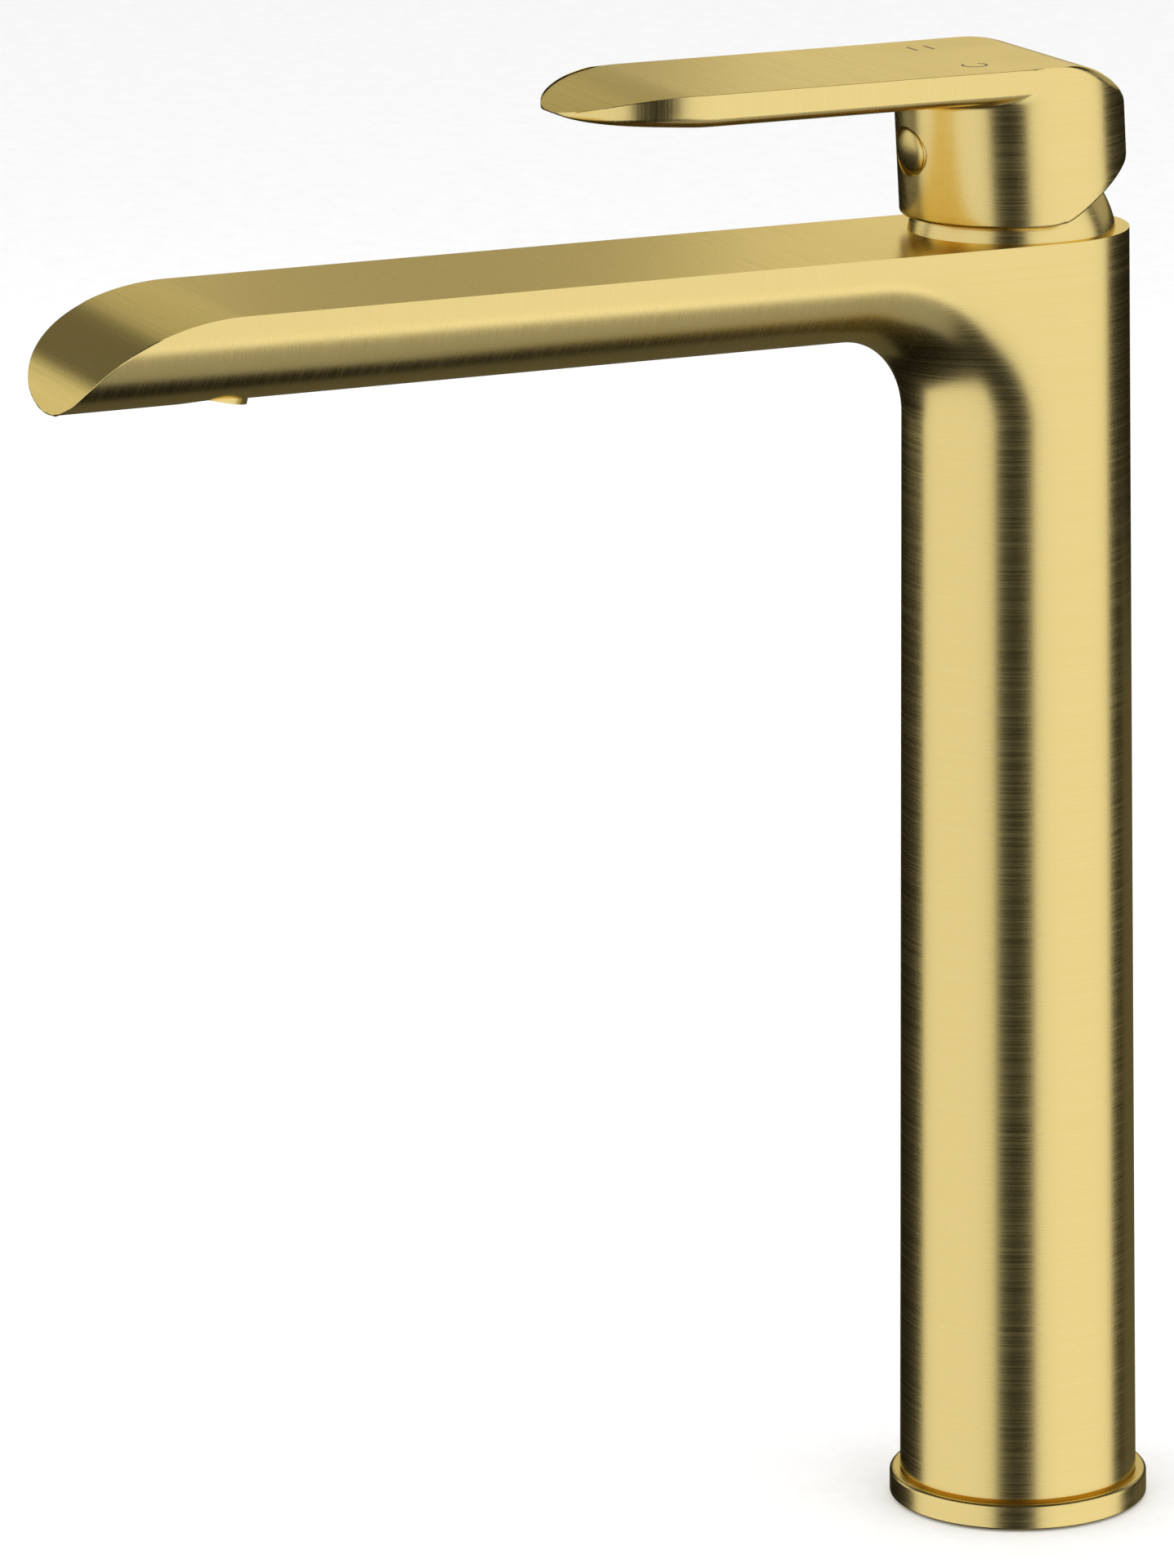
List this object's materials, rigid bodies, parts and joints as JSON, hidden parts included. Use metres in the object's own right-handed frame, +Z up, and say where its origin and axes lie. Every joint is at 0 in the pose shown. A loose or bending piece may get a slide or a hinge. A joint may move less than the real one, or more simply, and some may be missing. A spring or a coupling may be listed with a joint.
{
  "type": "basin mixer faucet",
  "caption": "Tall single-lever basin mixer: round column, flat straight spout with spoon-shaped tip, domed collar and flat lever, in brushed gold.",
  "frame": {"origin": "centre of the column on the deck plane, at the underside of the base gasket", "axes": "+Z up the column; the spout and the lever point along -Y; X runs across the spout, hot on the -X side and cold on the +X side"},
  "size_m": [0.0544, 0.2369, 0.3081],
  "materials": {
    "brushed_gold": "satin brushed",
    "raw_brass": "machined",
    "steel": "machined",
    "rubber": "matte",
    "white_plastic": "moulded",
    "grey_plastic": "moulded",
    "red_plastic": "moulded",
    "ceramic": "lapped ceramic",
    "mark_fill": "dark fill in fine engraved strokes"
  },
  "bodies": {
    "mixer": {"column": "brushed_gold", "spout": "brushed_gold", "valve_seat": "raw_brass", "base_flange": "brushed_gold", "base_gasket": "rubber", "flange_seal": "rubber", "base_insert": "raw_brass", "cartridge_base": "white_plastic", "port_seal_hot": "rubber", "port_seal_cold": "rubber", "fixed_disc": "ceramic", "cartridge_housing": "white_plastic", "housing_seal": "rubber", "limit_ring": "red_plastic", "cartridge_nut": "raw_brass", "dome_cover": "brushed_gold", "dome_seal": "rubber", "aerator_housing": "brushed_gold", "aerator_insert": "grey_plastic", "aerator_screen": "grey_plastic", "aerator_seal": "rubber"},
    "rotor": {"spindle_guide": "white_plastic", "spindle_pin": "steel"},
    "lever": {"handle": "brushed_gold", "spindle": "steel", "spindle_sleeve": "white_plastic", "grub_screw": "steel", "screw_cap": "brushed_gold", "mark_hot": "mark_fill", "mark_cold": "mark_fill"},
    "disc": {"moving_disc": "ceramic", "disc_carrier": "grey_plastic"}
  },
  "joints": [
    {"name": "handle_swivel", "type": "hinge", "parent": "mixer", "child": "rotor", "pos_m": [0, -0.0009, 0.2684], "axis": [0, 0, 1], "range_deg": [-50, 50]},
    {"name": "handle_lift", "type": "hinge", "parent": "rotor", "child": "lever", "pos_m": [0, -0.0009, 0.2684], "axis": [-1, 0, 0], "range_deg": [0, 25]},
    {"name": "disc_slide", "type": "slide", "parent": "rotor", "child": "disc", "axis": [0, -1, 0], "range_m": [0, 0.005]}
  ],
  "couplings": [
    {"joint": "disc_slide", "follows": "handle_lift", "m_per_rad": 0.01124}
  ]
}
